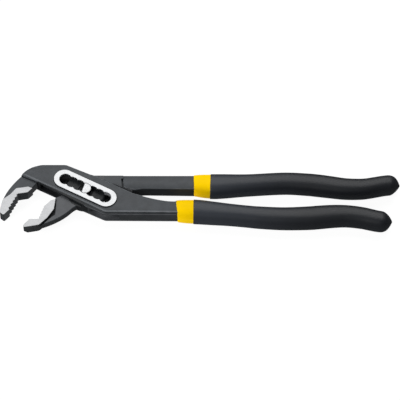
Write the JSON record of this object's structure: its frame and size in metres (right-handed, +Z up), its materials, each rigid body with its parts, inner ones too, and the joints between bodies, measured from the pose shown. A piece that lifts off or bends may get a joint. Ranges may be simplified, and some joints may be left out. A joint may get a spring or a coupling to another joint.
{
  "type": "water pump pliers",
  "caption": "Adjustable box-joint pump pliers with toothed angled jaws, a notched slot with a flatted pivot pin and two-colour dipped grips.",
  "frame": {"origin": "middle of the bounding box's lowest plane, with the tool lying on its side", "axes": "+X along the tool from the jaws to the ends of the handles, +Y across it towards the upper handle, +Z up through its thickness"},
  "size_m": [0.2508, 0.0458, 0.0131],
  "materials": {
    "forged_steel": "black phosphated forging, ground bright on the slot's rim and the jaw faces",
    "bright_steel": "ground bright",
    "yellow_coat": "satin dipped plastic",
    "black_coat": "satin dipped plastic"
  },
  "bodies": {
    "slotted_body": {"slotted_lever": "forged_steel", "lower_grip_undercoat": "yellow_coat", "lower_grip_overcoat": "black_coat"},
    "pin_body": {"pivot_pin": "bright_steel"},
    "through_body": {"through_lever": "forged_steel", "upper_grip_undercoat": "yellow_coat", "upper_grip_overcoat": "black_coat"}
  },
  "joints": [
    {"name": "jaw_adjust", "type": "slide", "parent": "slotted_body", "child": "pin_body", "axis": [0.8788, -0.4772, 0], "range_m": [-0.01425, 0.01425]},
    {"name": "handle_pivot", "type": "hinge", "parent": "pin_body", "child": "through_body", "pos_m": [-0.07207, 0.00445, 0.00656], "axis": [0, 0, 1], "range_deg": [0, 60]}
  ]
}
